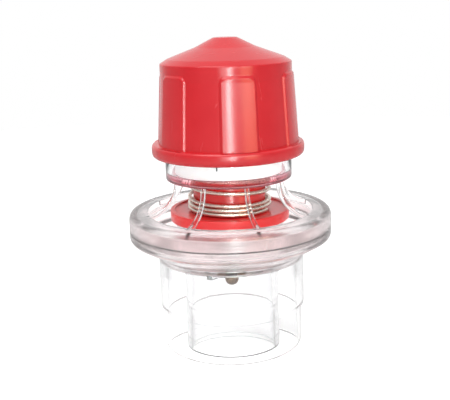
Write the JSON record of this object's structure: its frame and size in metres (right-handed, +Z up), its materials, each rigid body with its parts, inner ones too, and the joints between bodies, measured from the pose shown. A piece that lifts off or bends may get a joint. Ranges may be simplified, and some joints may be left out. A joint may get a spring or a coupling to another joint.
{
  "type": "positive end-expiratory pressure valve",
  "caption": "Spring-loaded expiratory pressure valve: red screw cap on a clear flanged housing with an open cage, coaxial tapered breathing connectors and a guided valve plate.",
  "frame": {"origin": "centre of the housing's lower end, on the valve's axis", "axes": "+Z up along the valve's axis towards the cap; -Y faces the viewer of the picture"},
  "size_m": [0.0482, 0.0482, 0.0734],
  "materials": {
    "cap_red": "smooth moulded, semi-gloss",
    "clear_shell": "clear moulded polycarbonate",
    "plate_red": "smooth moulded, semi-gloss",
    "bush_white": "natural acetal",
    "follower_white": "natural acetal",
    "silicone": "translucent silicone",
    "stem_steel": "drawn stainless wire",
    "spring_steel": "stainless spring wire"
  },
  "bodies": {
    "housing": {"lower_housing": "clear_shell", "seat_tube": "clear_shell", "upper_housing": "clear_shell", "guide_bush": "bush_white"},
    "valve": {"valve_plate": "plate_red", "valve_seal": "silicone", "guide_stem": "stem_steel", "stem_retainer": "spring_steel", "compression_spring": "spring_steel"},
    "follower": {"spring_follower": "follower_white"},
    "cap": {"adjusting_cap": "cap_red"}
  },
  "joints": [
    {"name": "valve_lift", "type": "slide", "parent": "housing", "child": "valve", "axis": [0, 0, 1], "range_m": [0, 0.0015], "stiffness_N_per_m": 123, "springref_m": -0.0013, "deforming": ["compression_spring"]},
    {"name": "follower_lift", "type": "slide", "parent": "housing", "child": "follower", "axis": [0, 0, 1], "range_m": [-0.0054, 0.001]},
    {"name": "cap_turn", "type": "hinge", "parent": "follower", "child": "cap", "pos_m": [0, 0, 0.06], "axis": [0, 0, 1], "range_deg": [-324.5, 60.5]}
  ],
  "couplings": [
    {"joint": "cap_turn", "follows": "follower_lift", "rad_per_m": 1047.2}
  ]
}
